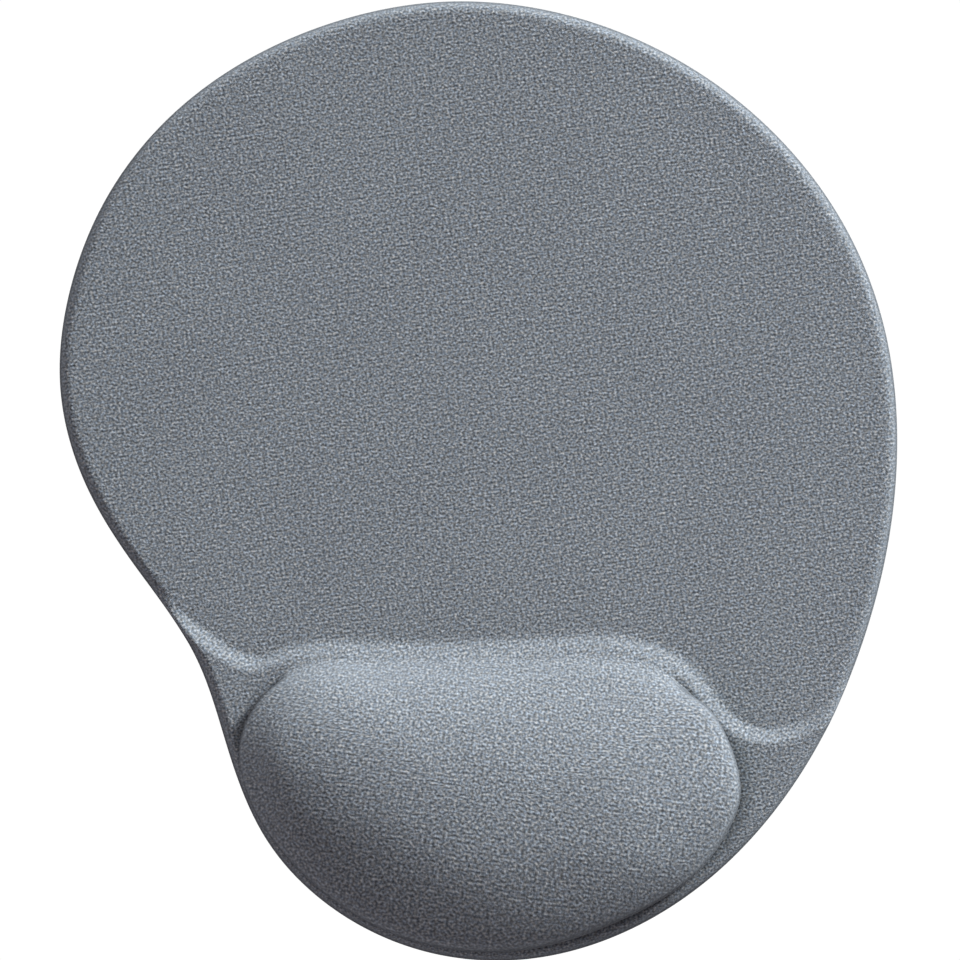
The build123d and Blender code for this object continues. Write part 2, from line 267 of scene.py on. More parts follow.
# ------------------------------------------------------------------- rays
def even_rim():
    """Points evenly spaced round the outline, and their outward normals."""
    fine = cubic_curve(OUTLINE, 12000, closed=True)
    step = np.linalg.norm(np.roll(fine, -1, 0) - fine, axis=1)
    travel = np.concatenate([[0], np.cumsum(step)])
    wanted = np.linspace(0, travel[-1], RAYS, endpoint=False)
    place = np.interp(wanted, travel[:-1], np.arange(len(fine)))
    k = np.floor(place).astype(int)
    part = (place - k)[:, None]
    points = fine[k] * (1 - part) + fine[(k + 1) % len(fine)] * part
    tangent = fine[(k + 3) % len(fine)] - fine[k - 3]
    tangent /= np.linalg.norm(tangent, axis=1)[:, None]
    return points, np.stack([tangent[:, 1], -tangent[:, 0]], 1)


def cushion_direction(xy):
    """Direction from the cushion's middle in degrees, as SPREAD counts it."""
    x, y = ((xy - MIDDLE) / CUSHION_HALF).T
    return np.mod(np.degrees(np.arctan2(y, x)), 360)


def cushion_radii(theta):
    """Distance from the crest to each level curve along each ray: rays x levels."""
    turns = np.append(list(SPREAD), 360)
    spread = np.array(list(SPREAD.values()))
    direction = cushion_direction(CUSHION)
    full_turn = 2 * np.pi
    columns = []
    for shares in spread.T:
        reach = np.interp(direction, turns, np.append(shares, shares[0]))
        level = cubic_curve(CREST + reach[:, None] * (CUSHION - CREST), 3000, closed=True) - CREST
        angle = np.mod(np.arctan2(level[:, 1], level[:, 0]), full_turn)
        order = np.argsort(angle)
        angle = angle[order]
        radius = np.hypot(level[:, 0], level[:, 1])[order]
        angle = np.concatenate([angle - full_turn, angle, angle + full_turn])
        columns.append(np.interp(np.mod(theta, full_turn), angle, np.tile(radius, 3)))
    return np.array(columns).T


rim, outward = even_rim()
ray_angle = np.arctan2(rim[:, 1] - CREST[1], rim[:, 0] - CREST[0])
ray = np.stack([np.cos(ray_angle), np.sin(ray_angle)], 1)

# Profiles are spaced by the root of the depth below the crest, so that the crown is round.
level_root = np.append(np.sqrt(CROWN - LEVELS), 0.0)[::-1]
profile_root = np.linspace(math.sqrt(CROWN), 0.0, 110)
profile_radius = np.array([
    monotone_cubic(level_root, np.append(radii, 0.0)[::-1], profile_root)
    for radii in cushion_radii(ray_angle)])
foot_radius = profile_radius[:, 0]
foot_xy = CREST + ray * foot_radius[:, None]


# ------------------------------------------------------- rings of the cover
class Rings:
    """Vertices and cloth coordinates, gathered ring by ring."""

    def __init__(self):
        self.points = []
        self.cloth = []
        self.total = 0

    def add(self, points, cloth):
        self.points.append(points)
        self.cloth.append(cloth)
        first = self.total
        self.total += len(points)
        return np.arange(first, self.total)


rings = Rings()
rim_radius = edge_radius(rim)
wall_low = HEM_Z + LOW_RADIUS
wall_top = np.maximum(pad_height(rim) - rim_radius, wall_low + MIN_WALL)
rim_extra = (math.pi / 2 - 1) * rim_radius


def side_rings():
    """From the hem under the body, round the lower edge and up the wall."""
    section = [(inset, HEM_Z) for inset in np.linspace(HEM_WIDTH, LOW_RADIUS, 7)]
    for angle in np.radians(np.linspace(80, 10, 6)):
        section.append((LOW_RADIUS - LOW_RADIUS * math.cos(angle),
                        wall_low - LOW_RADIUS * math.sin(angle)))
    for part in (0.0, 0.34, 0.67):
        section.append((0.0, wall_low + (wall_top - wall_low) * part))
    # Cloth length is measured downwards from the top of the wall.
    above = np.column_stack([rim, wall_top])
    run = np.zeros(RAYS)
    found = []
    for inset, z in reversed(section):
        here = np.column_stack([rim - outward * inset, np.broadcast_to(z, RAYS)])
        run = run + np.linalg.norm(here - above, axis=1)
        above = here
        found.append((here, rim + outward * (rim_extra + run)[:, None]))
    return [rings.add(points, cloth) for points, cloth in reversed(found)]


def pad_rings():
    """From the rim across the pad to the foot of the cushion."""
    # Distances in from the rim and out from the foot; the rest is evenly split.
    from_rim = np.array([0, 0.02, 0.08, 0.18, 0.32, 0.5, 0.72, 1.0, 1.35, 1.75, 2.2, 2.7, 3.3])
    from_foot = np.array([6.0, 5.0, 4.2, 3.5, 2.8, 2.2, 1.6, 1.1, 0.7, 0.35, 0.12, 0.0])
    even_count = 62
    full_gap = 14.0                 # narrower gaps squeeze both sets of distances
    gap = np.linalg.norm(rim - foot_xy, axis=1)
    scale = np.clip(gap / full_gap, 0.02, 1.0)
    first = from_rim[-1] * scale
    last = gap - from_foot[0] * scale
    insets = [distance * scale for distance in from_rim]
    insets += [first + (last - first) * (k / (even_count + 1)) for k in range(1, even_count + 1)]
    insets += [gap - distance * scale for distance in from_foot]
    made = [rings.add(np.column_stack([rim, wall_top]), rim + outward * rim_extra[:, None])]
    for inset in insets[1:]:
        xy = rim + (foot_xy - rim) * (inset / gap)[:, None]
        distance, _, edge_point = nearest(xy, outline, closed=True)
        radius = edge_radius(xy)
        z = pad_height(xy) - edge_drop(distance, radius)
        away = edge_point - xy
        away /= np.maximum(np.linalg.norm(away, axis=1), 1e-6)[:, None]
        cloth = xy + away * edge_extra(distance, radius)[:, None]
        made.append(rings.add(np.column_stack([xy, z]), cloth))
    return made


pad_part = side_rings() + pad_rings()

# Length up each profile, which starts on the pad's own height.
profile_z = np.tile(LEDGE_TOP + CROWN - profile_root**2, (RAYS, 1))
profile_z[:, 0] = rings.points[-1][:, 2]
piece_length = np.hypot(np.diff(profile_radius, axis=1), np.diff(profile_z, axis=1))
profile_travel = np.concatenate([np.zeros((RAYS, 1)), np.cumsum(piece_length, 1)], 1)
crest_point = np.array([*CREST, LEDGE_TOP + CROWN])


def up_cushion(part, stride=1):
    """Radii and points at a part of the way up the profiles of every stride-th ray."""
    picked = range(0, RAYS, stride)
    wanted = part * profile_travel[:, -1]
    radius, z = (np.array([np.interp(wanted[i], profile_travel[i], values[i]) for i in picked])
                 for values in (profile_radius, profile_z))
    return radius, np.column_stack([CREST + ray[::stride] * radius[:, None], z])


# ------------------------------------------------------- cloth on the cushion
SINK = 0.35                 # the cloth starts this far inside the cushion
MOST_MOVE = 0.7             # cap on its movement
CLOTH_FRAMES = 20


def simulate_cloth(points, faces, pinned_count):
    """Blow the mesh up under pressure, pinned at its foot. Returns its points."""
    mesh = bpy.data.meshes.new("cushion_cloth")
    mesh.from_pydata((points * MM).tolist(), [], faces)
    obj = bpy.data.objects.new("cushion_cloth", mesh)
    bpy.context.scene.collection.objects.link(obj)
    obj.vertex_groups.new(name="foot").add(list(range(pinned_count)), 1.0, "REPLACE")
    modifier = obj.modifiers.new("cloth", "CLOTH")
    settings = modifier.settings
    settings.quality = 6
    settings.mass = 0.3
    settings.tension_stiffness = settings.compression_stiffness = 20.0
    settings.shear_stiffness = 8.0
    settings.bending_stiffness = 2.0
    settings.tension_damping = settings.compression_damping = settings.shear_damping = 12.0
    settings.use_pressure = True
    settings.uniform_pressure_force = 4.0
    settings.vertex_group_mass = "foot"
    settings.effector_weights.gravity = 0.0
    modifier.collision_settings.use_collision = False
    modifier.collision_settings.use_self_collision = False
    modifier.point_cache.frame_start = 1
    modifier.point_cache.frame_end = CLOTH_FRAMES
    for frame_number in range(1, CLOTH_FRAMES + 1):
        bpy.context.scene.frame_set(frame_number)
    settled = obj.evaluated_get(bpy.context.evaluated_depsgraph_get())
    result = np.zeros(len(points) * 3)
    settled.data.vertices.foreach_get("co", result)
    bpy.context.scene.frame_set(1)
    bpy.data.objects.remove(obj)
    bpy.data.meshes.remove(mesh)
    return result.reshape(-1, 3) / MM


def cloth_offsets():
    """Parts of the way up the cushion, and the settled cloth's offset at each."""
    rows, n = CLOTH_ROWS, RAYS // CLOTH_STRIDE
    part = (np.arange(rows + 2) / (rows + 1)) ** 1.15
    grid = np.array([up_cushion(f, CLOTH_STRIDE)[1] for f in part[:-1]])
    normal = np.cross(np.roll(grid, -1, 1) - np.roll(grid, 1, 1), np.gradient(grid, axis=0))
    normal /= np.linalg.norm(normal, axis=2)[..., None]
    ease = np.clip(part[:-1] / 0.2, 0, 1)[:, None, None]     # no sinking at the foot
    sunk = grid - SINK * ease * normal
    sunk_crest = crest_point - np.array([0, 0, SINK])
    points = np.concatenate([sunk.reshape(-1, 3), sunk_crest[None]])
    faces = [(j * n + i, j * n + (i + 1) % n, (j + 1) * n + (i + 1) % n, (j + 1) * n + i)
             for j in range(rows) for i in range(n)]
    faces += [(rows * n + i, rows * n + (i + 1) % n, (rows + 1) * n) for i in range(n)]
    move = simulate_cloth(points, faces, pinned_count=n) - points
    size = np.linalg.norm(move, axis=1)
    move *= (MOST_MOVE * np.tanh(size / MOST_MOVE) / np.maximum(size, 1e-9))[:, None]
    offset = points + move - np.concatenate([grid.reshape(-1, 3), crest_point[None]])
    field = np.concatenate([offset[:-1].reshape(rows + 1, n, 3), np.tile(offset[-1], (1, n, 1))])
    for _ in range(2):
        field = (np.roll(field, 1, 1) + 2 * field + np.roll(field, -1, 1)) / 4
        field[1:-1] = (field[:-2] + 2 * field[1:-1] + field[2:]) / 4
    field[-1] = field[-1].mean(0)
    field[0] = 0
    return part, field


def offset_at(wanted, part, field):
    """Cloth offset of every ray at the wanted part of the way up."""
    k = min(int(np.searchsorted(part, wanted, side="right")) - 1, len(part) - 2)
    t = (wanted - part[k]) / (part[k + 1] - part[k])
    row = field[k] * (1 - t) + field[k + 1] * t
    row = np.concatenate([row, row[:1]])
    columns = np.arange(0, RAYS + CLOTH_STRIDE, CLOTH_STRIDE)
    return np.column_stack([np.interp(np.arange(RAYS), columns, row[:, axis])
                            for axis in range(3)])


def cushion_rings():
    """From the foot up to the crest point, with fewer vertices as rings shrink."""
    count = 44
    min_spacing, max_stride = 0.28, 16
    part, field = cloth_offsets()
    made = []
    last_stride = 1
    for k in range(1, count + 1):
        f = (k / (count + 1)) ** 1.25
        radius, points = up_cushion(f)
        stride = 1
        while radius.mean() * 2 * math.pi / (RAYS / stride) < min_spacing and stride < max_stride:
            stride *= 2
        stride = min(stride, last_stride * 2)
        last_stride = stride
        cloth = CREST + ray * (foot_radius * (1 - f))[:, None]
        place = points + offset_at(f, part, field)
        made.append(rings.add(place[::stride], cloth[::stride]))
    rings.add(crest_point[None] + field[-1, :1], CREST[None])
    return made


# --------------------------------------------------------------- knit cover
def bridge_rear(points, band):
    """Smooth the step between ramp and cushion at the rear, where the knit spans it."""
    start_angle, end_angle, fade_angle = 46, 137, 9.0
    blur, full_reach, fade_reach = 1.3, 5.5, 2.5
    direction = cushion_direction(foot_xy)
    rear = smoothstep(np.clip(
        np.minimum(direction - start_angle, end_angle - direction) / fade_angle, 0, 1))
    radius = np.array([np.hypot(*(points[ring, :2] - CREST).T) for ring in band])
    height = np.array([points[ring, 2] for ring in band])
    span = np.abs(np.gradient(radius, axis=0))
    for i, ring in enumerate(band):
        weight = np.exp(-((radius[i] - radius) ** 2) / (2 * blur**2)) * span
        smooth_z = (weight * height).sum(0) / weight.sum(0)
        window = np.clip((full_reach - np.abs(radius[i] - foot_radius)) / fade_reach, 0, 1)
        points[ring, 2] += rear * window * (smooth_z - height[i])


def join(lower, upper):
    """Faces between two rings, the upper one equal or half as many."""
    n, m = len(lower), len(upper)
    if n == m:
        return [(lower[i], lower[(i + 1) % n], upper[(i + 1) % n], upper[i]) for i in range(n)]
    faces = []
    for i in range(m):
        j = (i + 1) % m
        first, middle, last = lower[2 * i], lower[2 * i + 1], lower[(2 * i + 2) % n]
        faces += [(first, middle, upper[i]), (middle, last, upper[j]), (middle, upper[j], upper[i])]
    return faces


def cloth_uv(mesh, flat_cloth, first_cushion_face):
    """Cloth coordinates in millimetres. The wales climb to the right on the pad
    and fall to the right on the cushion."""
    cushion_turn, pad_turn = math.radians(6.7), math.radians(-8.6)
    layer = mesh.uv_layers.new(name="cloth")
    corner_vertex = np.zeros(len(mesh.loops), int)
    mesh.loops.foreach_get("vertex_index", corner_vertex)
    corner_count = np.zeros(len(mesh.polygons), int)
    mesh.polygons.foreach_get("loop_total", corner_count)
    face = np.repeat(np.arange(len(mesh.polygons)), corner_count)
    turn = np.where(face >= first_cushion_face, cushion_turn, pad_turn)
    cos, sin = np.cos(turn), np.sin(turn)
    x, y = (flat_cloth[corner_vertex] - CREST).T
    turned = np.stack([x * cos - y * sin, x * sin + y * cos], 1)
    layer.data.foreach_set("uv", turned.astype(np.float32).ravel())


def knit_cover():
    """The knit sheet over pad, ledge and cushion, as one mesh."""
    cushion_part = cushion_rings()
    points = np.concatenate(rings.points)
    bridge_rear(points, pad_part[-16:] + cushion_part[:9])
    faces = []
    for lower, upper in zip(pad_part, pad_part[1:]):
        faces += join(lower, upper)
    first_cushion_face = len(faces)
    for lower, upper in zip([pad_part[-1]] + cushion_part, cushion_part):
        faces += join(lower, upper)
    last = cushion_part[-1]
    faces += [(last[i], last[(i + 1) % len(last)], rings.total - 1) for i in range(len(last))]

    mesh = bpy.data.meshes.new("knit_cover")
    mesh.from_pydata((points * MM).tolist(), [], [tuple(map(int, f)) for f in faces])
    mesh.validate()
    mesh.update()
    obj = bpy.data.objects.new("knit_cover", mesh)
    bpy.context.scene.collection.objects.link(obj)
    cloth_uv(mesh, np.concatenate(rings.cloth), first_cushion_face)
    for polygon in mesh.polygons:
        polygon.use_smooth = True
    sheet = obj.modifiers.new("sheet", "SOLIDIFY")
    sheet.thickness = KNIT_THICK * MM
    sheet.offset = -1.0
    sheet.use_even_offset = False
    return obj


cover = knit_cover()
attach(cover, "root")
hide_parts("cover_fabric")


# --------------------------------------------------------------- materials
class Tree:
    """A material with a Principled surface and short calls for its nodes."""

    def __init__(self, name):
        self.mat = bpy.data.materials.new(name)
        self.mat.use_nodes = True
        self.tree = self.mat.node_tree
        self.tree.nodes.clear()
        output = self.node("ShaderNodeOutputMaterial")
        self.bsdf = self.node("ShaderNodeBsdfPrincipled")
        self.put(output.inputs["Surface"], self.bsdf.outputs[0])

    def node(self, kind, **values):
        node = self.tree.nodes.new(kind)
        for key, value in values.items():
            setattr(node, key, value)
        return node

    def put(self, socket, value):
        """Link an output to a socket, or set its value."""
        if isinstance(value, bpy.types.NodeSocket):
            self.tree.links.new(value, socket)
        else:
            socket.default_value = value

    def math(self, operation, *values):
        node = self.node("ShaderNodeMath", operation=operation)
        for socket, value in zip(node.inputs, values):
            self.put(socket, value)
        return node.outputs[0]

    def swing(self, noise, gain, centre=0.0):
        """Noise from 0 to 1, stretched by a gain about a new centre."""
        return self.math("MULTIPLY_ADD", noise, gain, centre - 0.5 * gain)

    def mix(self, factor, a, b, blend="MIX"):
        node = self.node("ShaderNodeMix", data_type="RGBA", blend_type=blend)
        # Sockets 6, 7 and output 2 are the colour ones.
        for index, value in ((0, factor), (6, a), (7, b)):
            self.put(node.inputs[index], value)
        return node.outputs[2]

    def multiply(self, colour, by, factor=1.0):
        return self.mix(factor, colour, by, "MULTIPLY")

    def noise(self, vector, scale, detail=2.0, roughness=0.5):
        node = self.node("ShaderNodeTexNoise")
        self.put(node.inputs["Vector"], vector)
        node.inputs["Scale"].default_value = scale
        node.inputs["Detail"].default_value = detail
        node.inputs["Roughness"].default_value = roughness
        return node.outputs[0]

    def ramp(self, value, stops):
        """Colour ramp from (position, colour) stops."""
        node = self.node("ShaderNodeValToRGB")
        elements = node.color_ramp.elements
        while len(elements) < len(stops):
            elements.new(0.5)
        for element, (position, colour) in zip(elements, stops):
            element.position = position
            element.color = (*colour, 1.0)
        self.put(node.inputs[0], value)
        return node.outputs[0]

    def remap(self, value, source, target):
        """Map the source range (low, high) to the target range, clamped."""
        node = self.node("ShaderNodeMapRange")
        for i, item in enumerate((value, *source, *target)):
            self.put(node.inputs[i], item)
        return node.outputs[0]

    def millimetres(self):
        """Object coordinates in millimetres."""
        scale = self.node("ShaderNodeVectorMath", operation="SCALE")
        self.put(scale.inputs[0], self.node("ShaderNodeTexCoord").outputs["Object"])
        scale.inputs["Scale"].default_value = 1000.0
        return scale.outputs[0]

    def surface(self, colour, roughness, specular, height, bump_strength, relief):
        """Fill the surface; relief is the bump distance in millimetres."""
        bump = self.node("ShaderNodeBump")
        bump.inputs["Strength"].default_value = bump_strength
        bump.inputs["Distance"].default_value = relief * MM
        self.put(bump.inputs["Height"], height)
        self.put(self.bsdf.inputs["Base Color"], colour)
        self.put(self.bsdf.inputs["Roughness"], roughness)
        self.put(self.bsdf.inputs["Specular IOR Level"], specular)
        self.put(self.bsdf.inputs["Normal"], bump.outputs[0])


def knit_material():
    wale_pitch, loop_pitch = 0.98, 0.62     # mm between ribs, and between loops
    loop_lean = 2.4                         # radians that the legs of a loop lean
    across_jitter = 1.3                     # yarn jitter along u, against that along v
    clump_squeeze = (0.92, 1.0)             # clumps are a little longer along u
    shade_shift = (31.7, 12.9, 4.1)         # parts the shade noise from the relief noise
    wale_height, loop_height, fine_height = 0.13, 0.05, 0.4
    wale_tone, loop_tone, fine_tone = 0.045, 0.03, 0.4

    t = Tree("knit_cover")
    uv = t.node("ShaderNodeUVMap", uv_map="cloth").outputs[0]
    split = t.node("ShaderNodeSeparateXYZ")
    t.put(split.inputs[0], uv)
    u, v = split.outputs[0], split.outputs[1]
    position = t.millimetres()

    # Slow wander of the yarns, so that the ribs are never ruled lines.
    wander = t.swing(t.noise(uv, scale=0.16), gain=1.4)
    jitter = t.swing(t.noise(uv, scale=0.9, roughness=0.6), gain=1.5)
    yarn_v = t.math("ADD", v, t.math("ADD", wander, jitter))
    yarn_u = t.math("ADD", u, t.math("MULTIPLY", jitter, across_jitter))

    # Wales are the ribs; the loops along them lean to and fro on their two legs.
    wale_phase = t.math("MULTIPLY", yarn_v, 2 * math.pi / wale_pitch)
    wale = t.math("COSINE", wale_phase)
    lean = t.math("ABSOLUTE", t.math("SINE", t.math("MULTIPLY", wale_phase, 0.5)))
    loop_phase = t.math("ADD", t.math("MULTIPLY", yarn_u, 2 * math.pi / loop_pitch),
                        t.math("MULTIPLY", lean, loop_lean))
    loop = t.math("COSINE", loop_phase)

    # Clumps of fuzzy filaments.
    stretch = t.node("ShaderNodeCombineXYZ")
    for socket, axis, squeeze in zip(stretch.inputs, (u, v), clump_squeeze):
        t.put(socket, t.math("MULTIPLY", axis, squeeze))
    fuzz_uv = stretch.outputs[0]
    clump = t.noise(fuzz_uv, scale=1.65, detail=0.7)
    shift = t.node("ShaderNodeVectorMath", operation="ADD")
    t.put(shift.inputs[0], fuzz_uv)
    shift.inputs[1].default_value = shade_shift
    shade = t.noise(shift.outputs[0], scale=1.7, detail=0.7)
    fine = t.noise(uv, scale=5.2, roughness=0.6)

    height = t.swing(clump, gain=1.0)
    height = t.math("MULTIPLY_ADD", wale, wale_height, height)
    height = t.math("MULTIPLY_ADD", loop, loop_height, height)
    height = t.math("ADD", height, t.swing(fine, gain=fine_height))

    # Colour: close greys, light filaments over a darker ground.
    tone = t.swing(shade, gain=1.85, centre=0.5)
    tone = t.math("ADD", tone, t.math("MULTIPLY", wale, wale_tone))
    tone = t.math("ADD", tone, t.math("MULTIPLY", loop, loop_tone))
    tone = t.math("ADD", tone, t.swing(fine, gain=fine_tone))
    colour = t.ramp(tone, [(0.0, (0.060, 0.068, 0.076)), (0.25, (0.115, 0.129, 0.142)),
                           (0.5, (0.188, 0.211, 0.233)), (0.75, (0.300, 0.330, 0.358)),
                           (1.0, (0.450, 0.482, 0.510))])
    # Slight warm and cool filaments.
    tint = t.ramp(t.noise(uv, scale=1.3, detail=1.0),
                  [(0.35, (0.90, 0.985, 1.09)), (0.65, (1.10, 1.01, 0.91))])
    colour = t.multiply(colour, tint, factor=0.8)
    # Very slow unevenness of the dyeing, and painted light: the cloth is painted lighter from left to
    # right.
    slow = t.noise(position, scale=0.035, detail=3.0, roughness=0.55)
    colour = t.multiply(colour, t.ramp(slow, [(0.3, (0.965, 0.965, 0.97)),
                                              (0.7, (1.03, 1.03, 1.03))]))
    place = t.node("ShaderNodeSeparateXYZ")
    t.put(place.inputs[0], position)
    # Painted light: the colour gets lighter towards the right side.
    painted_light_gradient = t.remap(place.outputs[0], source=(-95.0, 95.0), target=(0.955, 1.055))
    colour = t.multiply(colour, painted_light_gradient)
    # Seen edge-on the loops close up and the speckle evens out. Painted shade: where the surface turns
    # edge-on its colour is darkened, so the very edge goes dark.
    facing = t.node("ShaderNodeLayerWeight").outputs["Facing"]
    even = t.remap(facing, source=(0.04, 0.4), target=(0.0, 0.55))
    colour = t.mix(even, colour, (0.178, 0.201, 0.225, 1.0))
    colour = t.multiply(colour, t.remap(facing, source=(0.34, 0.62), target=(1.0, 0.50)))
    # Painted shade: the folds round the cushion are darkened, the more closed in a point is, the darker it
    # gets.
    painted_fold_shade = t.node("ShaderNodeAmbientOcclusion", samples=8, only_local=True)
    painted_fold_shade.inputs["Distance"].default_value = 5.5 * MM
    colour = t.multiply(colour, t.remap(painted_fold_shade.outputs["AO"], source=(0.42, 0.93),
                                        target=(0.42, 1.0)))
    t.surface(colour, roughness=t.remap(fine, source=(0.3, 0.7), target=(0.86, 0.97)),
              specular=0.15, height=height, bump_strength=1.0, relief=0.115)
    t.bsdf.inputs["Sheen Weight"].default_value = 0.06
    t.bsdf.inputs["Sheen Roughness"].default_value = 0.55
    t.bsdf.inputs["Sheen Tint"].default_value = (0.86, 0.91, 1.0, 1.0)
    return t.mat


def plain_layer(name, dark, light, scale, roughness, relief, transmission=0.0, specular=0.4):
    """Inner layers: mottled colour, uneven roughness and a fine relief."""
    fine_scale, fine_height, roughness_spread = 9, 0.4, 0.08
    t = Tree(name)
    position = t.millimetres()
    mottle = t.noise(position, scale, detail=4.0, roughness=0.6)
    fine = t.noise(position, scale * fine_scale, roughness=0.6)
    t.surface(t.ramp(mottle, [(0.3, dark), (0.7, light)]),
              roughness=t.remap(fine, source=(0.3, 0.7), target=(roughness - roughness_spread,
                                                                 roughness + roughness_spread)),
              specular=specular,
              height=t.math("ADD", mottle, t.math("MULTIPLY", fine, fine_height)),
              bump_strength=0.5, relief=relief)
    t.bsdf.inputs["Transmission Weight"].default_value = transmission
    return t.mat


def rubber_material():
    t = Tree("base_rubber")
    position = t.millimetres()
    mottle = t.noise(position, scale=0.12, detail=4.0, roughness=0.6)
    grain = t.noise(position, scale=5.0, detail=3.0, roughness=0.65)
    ground = t.ramp(mottle, [(0.3, (0.022, 0.023, 0.026)), (0.7, (0.036, 0.037, 0.040))])
    dust = t.ramp(grain, [(0.55, (0.0, 0.0, 0.0)), (0.78, (0.05, 0.05, 0.052))])
    t.surface(t.mix(1.0, ground, dust, "ADD"),
              roughness=t.remap(grain, source=(0.3, 0.7), target=(0.55, 0.75)),
              specular=0.35, height=grain, bump_strength=0.5, relief=0.05)
    return t.mat


cover.data.materials.append(knit_material())

# The CAD pieces that wear each inner material.
for pieces, looks in (
    (["cover_backing_film"], dict(
        name="backing_film", dark=(0.55, 0.56, 0.57), light=(0.66, 0.67, 0.68),
        scale=0.2, roughness=0.45, relief=0.02)),
    (["pad_body"], dict(
        name="moulded_foam", dark=(0.10, 0.105, 0.115), light=(0.19, 0.195, 0.205),
        scale=1.6, roughness=0.85, relief=0.12, specular=0.2)),
    (["gel_core"], dict(
        name="gel", dark=(0.55, 0.66, 0.74), light=(0.70, 0.79, 0.85),
        scale=0.08, roughness=0.16, relief=0.02, transmission=0.7)),
    (["pouch_top_film", "pouch_base_film"], dict(
        name="pouch_film", dark=(0.72, 0.74, 0.75), light=(0.85, 0.87, 0.88),
        scale=0.15, roughness=0.22, relief=0.02, transmission=0.5)),
    (["pouch_tape"], dict(
        name="tape", dark=(0.66, 0.63, 0.55), light=(0.8, 0.77, 0.7),
        scale=0.5, roughness=0.5, relief=0.03)),
    (["base_adhesive"], dict(
        name="glue_film", dark=(0.62, 0.59, 0.48), light=(0.78, 0.75, 0.64),
        scale=0.3, roughness=0.4, relief=0.05)),
):
    material = plain_layer(**looks)
    for piece in pieces:
        slots = NODES[piece].data.materials
        slots.clear()
        slots.append(material)


# --------------------------------------------------------------- base sheet
DOT_PITCH = 4.2
ROW_PITCH = DOT_PITCH * 0.866           # rows of a triangular grid
UNDERSIDE = 0.28                        # height of the sheet between the dots
# Each dot's rings: radius, height.
DOT_RINGS = [(0.95 * 0.75, 0.0), (0.95, 0.06), (1.45, UNDERSIDE)]
DOT_MARGIN = 3.4                        # from the sheet's edge to the nearest dot centre
# Raised lip under the edge, then the side up to the top: inset from the sheet's
# edge, height.
LIP_INNER = [(1.9, UNDERSIDE), (0.95, UNDERSIDE), (0.55, 0.06)]
LIP_OUTER = [(0.28, 0.0), (0.08, 0.05), (0.0, 0.22), (0.0, 0.6), (0.0, 1.0), (0.12, 1.16),
             (0.3, BASE_THICK)]


def grip_underside(inset_edge):
    """Dotted underside within the lip: vertices, faces and the ids of its edge ring."""
    rows = int(130 / ROW_PITCH)
    centres = np.array([(i * DOT_PITCH + (j % 2) * DOT_PITCH / 2, j * ROW_PITCH)
                        for j in range(-rows, rows + 1) for i in range(-30, 31)])
    _, side, _ = nearest(centres, inset_edge(DOT_MARGIN), closed=True)
    centres = centres[side > 0]
    around = np.radians(np.arange(0, 360, 36.0))
    circle = np.stack([np.cos(around), np.sin(around)], 1)
    points, heights = [centres], [np.zeros(len(centres))]
    for radius, z in DOT_RINGS:
        points.append((centres[:, None, :] + radius * circle[None]).reshape(-1, 2))
        heights.append(np.full(len(points[-1]), z))
    for inset, z in LIP_INNER:
        points.append(inset_edge(inset))
        heights.append(np.full(len(points[-1]), z))
    n = len(points[-1])
    flat = np.concatenate(points)
    height = np.concatenate(heights)
    ring_start = len(flat) - n
    border = [(ring_start + i, ring_start + (i + 1) % n) for i in range(n)]
    result = delaunay_2d_cdt([Vector(point) for point in flat], border, [], 0, 1e-6, True)
    xy = np.array([tuple(point) for point in result[0]])
    # A vertex that the triangulation adds has no source: it lies on the underside.
    source = [ids[0] if ids else -1 for ids in result[3]]
    z = np.array([height[i] if i >= 0 else UNDERSIDE for i in source])
    new_id = {old: new for new, old in enumerate(source)}
    triangles = np.array(result[2])
    _, side, _ = nearest(xy[triangles].mean(1), inset_edge(LIP_INNER[-1][0]), closed=True)
    triangles = triangles[side > 0]
    a, b, c = (xy[triangles[:, corner]] for corner in range(3))
    up = (b[:, 0] - a[:, 0]) * (c[:, 1] - a[:, 1]) - (b[:, 1] - a[:, 1]) * (c[:, 0] - a[:, 0]) > 0
    triangles[up] = triangles[up][:, ::-1]               # faces look down
    faces = [tuple(map(int, triangle)) for triangle in triangles]
    return np.column_stack([xy, z]), faces, [new_id[ring_start + i] for i in range(n)]


def grip_sheet():
    """Base sheet: flat rubber with a field of small raised grip dots below."""
    edge = cubic_curve(OUTLINE, 560, closed=True)
    n = len(edge)
    tangent = np.roll(edge, -1, 0) - np.roll(edge, 1, 0)
    tangent /= np.linalg.norm(tangent, axis=1)[:, None]
    inward = np.stack([-tangent[:, 1], tangent[:, 0]], 1)

    def inset_edge(inset):
        return edge + inward * (BASE_INSET + inset)

    underside, faces, previous = grip_underside(inset_edge)
    stack = [underside]
    total = len(underside)
    for inset, z in LIP_OUTER:
        stack.append(np.column_stack([inset_edge(inset), np.full(n, z)]))
        ring = list(range(total, total + n))
        total += n
        faces += join(previous, ring)
        previous = ring
    stack.append(np.array([[0.0, 0.0, BASE_THICK]]))
    faces += [(previous[i], previous[(i + 1) % n], total) for i in range(n)]

    mesh = bpy.data.meshes.new("grip_base_sheet")
    mesh.from_pydata((np.concatenate(stack) * MM).tolist(), [], faces)
    mesh.validate()
    bm = bmesh.new()
    bm.from_mesh(mesh)
    loose = [vertex for vertex in bm.verts if not vertex.link_faces]
    bmesh.ops.delete(bm, geom=loose, context="VERTS")
    bmesh.ops.recalc_face_normals(bm, faces=bm.faces)
    for face in bm.faces:
        face.smooth = True
    bm.to_mesh(mesh)
    bm.free()
    obj = bpy.data.objects.new("grip_base_sheet", mesh)
    bpy.context.scene.collection.objects.link(obj)
    return obj


base = grip_sheet()
base.data.materials.append(rubber_material())
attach(base, "root")
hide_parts("nonskid_base_sheet")


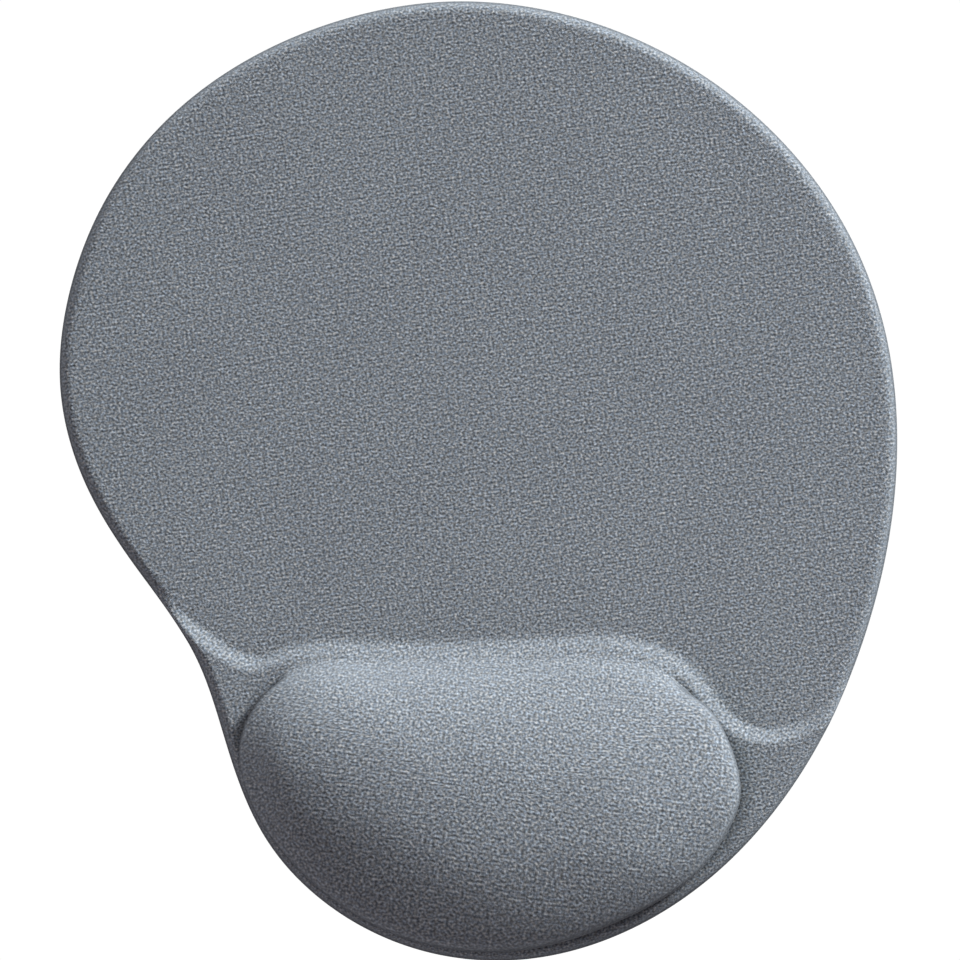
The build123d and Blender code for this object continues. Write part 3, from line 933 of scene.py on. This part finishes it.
# ------------------------------------------------------------------- stage
def white_to_camera(owner, output_kind, lit_kind, lit_values, seen_kind):
    """Give a material or world one shader for lighting and plain white for the camera."""
    seen_values = ((1, 1, 1, 1), 1.02)                   # colour, strength
    owner.use_nodes = True
    tree = owner.node_tree
    tree.nodes.clear()
    output = tree.nodes.new(output_kind)
    mix = tree.nodes.new("ShaderNodeMixShader")
    light_path = tree.nodes.new("ShaderNodeLightPath")
    tree.links.new(light_path.outputs["Is Camera Ray"], mix.inputs[0])
    for index, kind, values in ((1, lit_kind, lit_values), (2, seen_kind, seen_values)):
        shader = tree.nodes.new(kind)
        for socket, value in zip(shader.inputs, values):
            socket.default_value = value
        tree.links.new(shader.outputs[0], mix.inputs[index])
    tree.links.new(mix.outputs[0], output.inputs[0])


def add_floor():
    half, drop = 60.0, 0.00005                           # metres
    mesh = bpy.data.meshes.new("floor")
    mesh.from_pydata([(-half, -half, 0), (half, -half, 0), (half, half, 0), (-half, half, 0)],
                     [], [(0, 1, 2, 3)])
    floor = bpy.data.objects.new("floor", mesh)
    floor.location.z = CAD_BOX[0][2] - drop
    bpy.context.scene.collection.objects.link(floor)
    pale = bpy.data.materials.new("floor_pale")
    white_to_camera(pale, "ShaderNodeOutputMaterial", "ShaderNodeBsdfDiffuse",
                    [(0.88, 0.88, 0.88, 1)], "ShaderNodeEmission")
    mesh.materials.append(pale)


def add_world():
    world = bpy.data.worlds.new("studio")
    bpy.context.scene.world = world
    white_to_camera(world, "ShaderNodeOutputWorld", "ShaderNodeBackground",
                    [(0.93, 0.96, 1.0, 1), 0.05], "ShaderNodeBackground")


def add_sun(name, azimuth, elevation, strength, angle, colour):
    """azimuth is counted from +Y (the rear) towards +X (the right), in degrees."""
    data = bpy.data.lights.new(name, "SUN")
    data.energy = strength
    data.angle = math.radians(angle)
    data.color = colour
    sun = bpy.data.objects.new(name, data)
    turn, rise = math.radians(azimuth), math.radians(elevation)
    direction = Vector((math.sin(turn) * math.cos(rise), math.cos(turn) * math.cos(rise),
                        math.sin(rise)))
    sun.rotation_mode = "QUATERNION"
    sun.rotation_quaternion = direction.to_track_quat("Z", "Y")
    bpy.context.scene.collection.objects.link(sun)


def add_camera():
    """Looks straight down from above the mat. Lengths in metres."""
    distance = 2.6                      # above the underside of the mat
    view_width, view_height = 0.2443, 0.003     # width seen, at this height
    shift = (0.0004, 0.0002)            # right and rear of the middle of the box
    low, high = CAD_BOX
    data = bpy.data.cameras.new("camera")
    camera = bpy.data.objects.new("camera", data)
    bpy.context.scene.collection.objects.link(camera)
    camera.location = ((low[0] + high[0]) / 2 + shift[0], (low[1] + high[1]) / 2 + shift[1],
                       low[2] + distance)
    data.sensor_fit = "HORIZONTAL"
    data.sensor_width = 36.0
    data.lens = data.sensor_width * (distance - view_height) / view_width
    data.clip_start = 0.1
    data.clip_end = 500.0
    bpy.context.scene.camera = camera


add_floor()
add_world()
add_sun("key", azimuth=46, elevation=15.5, strength=7.4, angle=16, colour=(0.985, 1.0, 1.015))
add_sun("rear", azimuth=350, elevation=16, strength=1.35, angle=30, colour=(0.985, 1.0, 1.02))
add_sun("fill", azimuth=230, elevation=33, strength=0.86, angle=50, colour=(1.10, 0.96, 1.01))
add_camera()
bpy.context.scene.view_settings.view_transform = "Standard"
bpy.context.scene.view_settings.look = "None"
